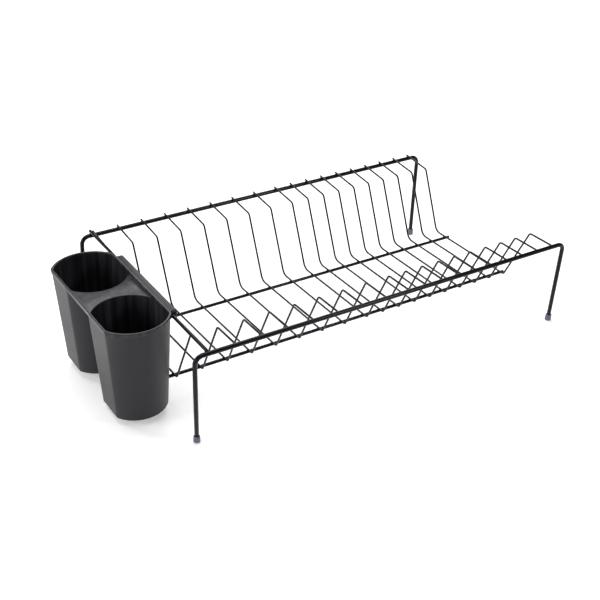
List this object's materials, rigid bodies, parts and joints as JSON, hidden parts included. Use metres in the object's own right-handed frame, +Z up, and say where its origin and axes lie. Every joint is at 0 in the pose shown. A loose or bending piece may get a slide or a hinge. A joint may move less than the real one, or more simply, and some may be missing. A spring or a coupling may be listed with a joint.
{
  "type": "dish drying rack",
  "caption": "Low open wire rack that stands plates on edge to dry, with a two-cup cutlery holder that lifts off a rod at its end.",
  "frame": {"origin": "on the floor under the middle of the whole outline, holder included", "axes": "+X along the rack away from the cutlery holder, +Y from the front bar to the back bar, +Z up"},
  "size_m": [0.437, 0.2306, 0.0982],
  "materials": {
    "coated_steel": "semi-gloss blue-black coating over drawn steel rod",
    "foot_cap": "satin moulded caps, bluish grey",
    "holder_plastic": "matt moulded charcoal plastic"
  },
  "bodies": {
    "rack": {"front_frame": "coated_steel", "rear_frame": "coated_steel", "front_lower_rail": "coated_steel", "rear_lower_rail": "coated_steel", "side_rod": "coated_steel", "slat_wire_01": "coated_steel", "slat_wire_02": "coated_steel", "slat_wire_03": "coated_steel", "slat_wire_04": "coated_steel", "slat_wire_05": "coated_steel", "slat_wire_06": "coated_steel", "slat_wire_07": "coated_steel", "slat_wire_08": "coated_steel", "slat_wire_09": "coated_steel", "slat_wire_10": "coated_steel", "slat_wire_11": "coated_steel", "slat_wire_12": "coated_steel", "slat_wire_13": "coated_steel", "slat_wire_14": "coated_steel", "slat_wire_15": "coated_steel", "slat_wire_16": "coated_steel", "slat_wire_17": "coated_steel", "slat_wire_18": "coated_steel", "foot_cap_front_left": "foot_cap", "foot_cap_front_right": "foot_cap", "foot_cap_rear_left": "foot_cap", "foot_cap_rear_right": "foot_cap"},
    "holder": {"cutlery_holder": "holder_plastic"}
  },
  "joints": [
    {"name": "holder_lift", "type": "slide", "parent": "rack", "child": "holder", "axis": [0, 0, 1], "range_m": [0, 0.12]}
  ]
}
